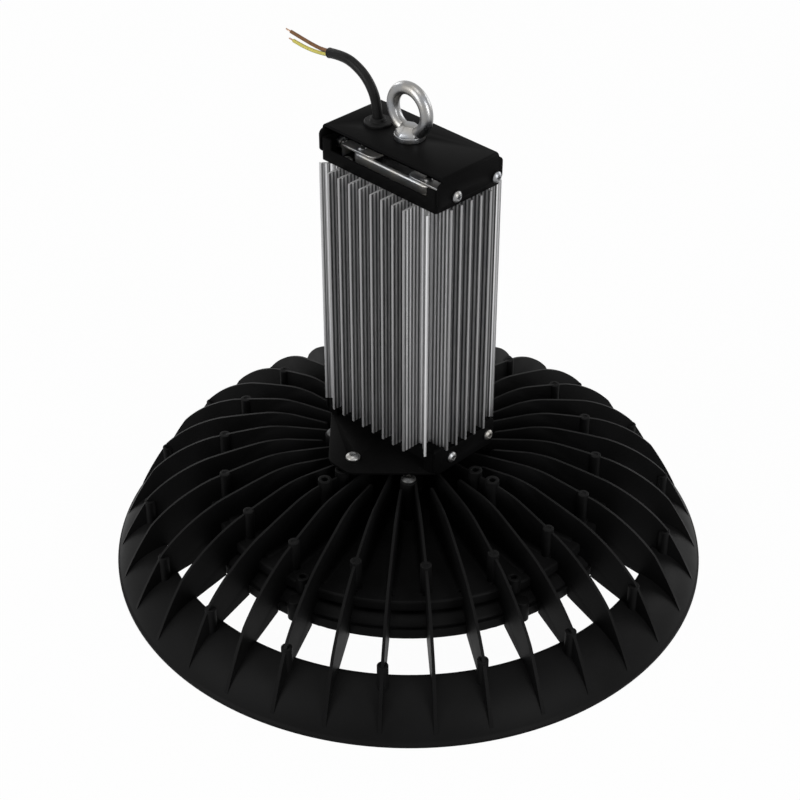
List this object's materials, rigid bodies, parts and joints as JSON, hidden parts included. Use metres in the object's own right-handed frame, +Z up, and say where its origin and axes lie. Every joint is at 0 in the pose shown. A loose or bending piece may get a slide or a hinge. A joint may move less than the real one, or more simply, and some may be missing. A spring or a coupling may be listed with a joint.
{
  "type": "high bay light",
  "caption": "Round high bay light: finned cast heat sink with a flared skirt, a finned driver housing on top, an eye bolt to hang it from and a short cable with bare cores.",
  "frame": {"origin": "on the lamp's axis, in the plane of the skirt's lowest rim edge", "axes": "+Z up through the eye bolt, opposite to the light; +X along the long side of the driver housing; the mains cable leaves towards -X"},
  "size_m": [0.4, 0.4, 0.3457],
  "materials": {
    "black_casting": "die cast, satin black powder coat",
    "extruded_aluminium": "mill finish, extruded",
    "black_sheet": "black powder coat, satin",
    "zinc_steel": "zinc plated",
    "glass": "clear tempered",
    "silicone": "matt",
    "board_white": "white solder mask",
    "led_phosphor": "phosphor package",
    "black_rubber": "matt",
    "potting": "cast resin",
    "cable_sheath": "satin cable sheath",
    "brown_insulation": "wire insulation",
    "green_yellow_insulation": "wire insulation, green and yellow",
    "blue_insulation": "wire insulation",
    "copper": "bare copper strands"
  },
  "bodies": {
    "root": {"heat_sink": "black_casting", "cover_ring": "black_casting", "driver_housing": "extruded_aluminium", "driver_case": "extruded_aluminium", "driver_clips": "extruded_aluminium", "top_bracket": "black_sheet", "base_bracket": "black_sheet", "upper_end_tray": "black_sheet", "lower_end_tray": "black_sheet", "eye_bolt": "zinc_steel", "eye_bolt_washer": "zinc_steel", "eye_bolt_nut": "zinc_steel", "top_side_screws": "zinc_steel", "top_side_nuts": "zinc_steel", "base_side_screws": "zinc_steel", "base_side_nuts": "zinc_steel", "upper_tray_screws": "zinc_steel", "lower_tray_screws": "zinc_steel", "base_bracket_screws": "zinc_steel", "service_post_screws": "zinc_steel", "driver_clip_screws": "zinc_steel", "cover_ring_screws": "zinc_steel", "led_board_screws": "zinc_steel", "cover_glass": "glass", "cover_gasket": "silicone", "led_board": "board_white", "led_chips": "led_phosphor", "lead_seal": "black_rubber", "cable_grommet": "black_rubber", "driver_pad": "black_rubber", "driver_potting": "potting", "mains_cable": "cable_sheath", "mains_tail": "cable_sheath", "led_lead": "cable_sheath", "core_brown": "brown_insulation", "core_green_yellow": "green_yellow_insulation", "core_blue": "blue_insulation", "core_strands": "copper"}
  },
  "joints": []
}
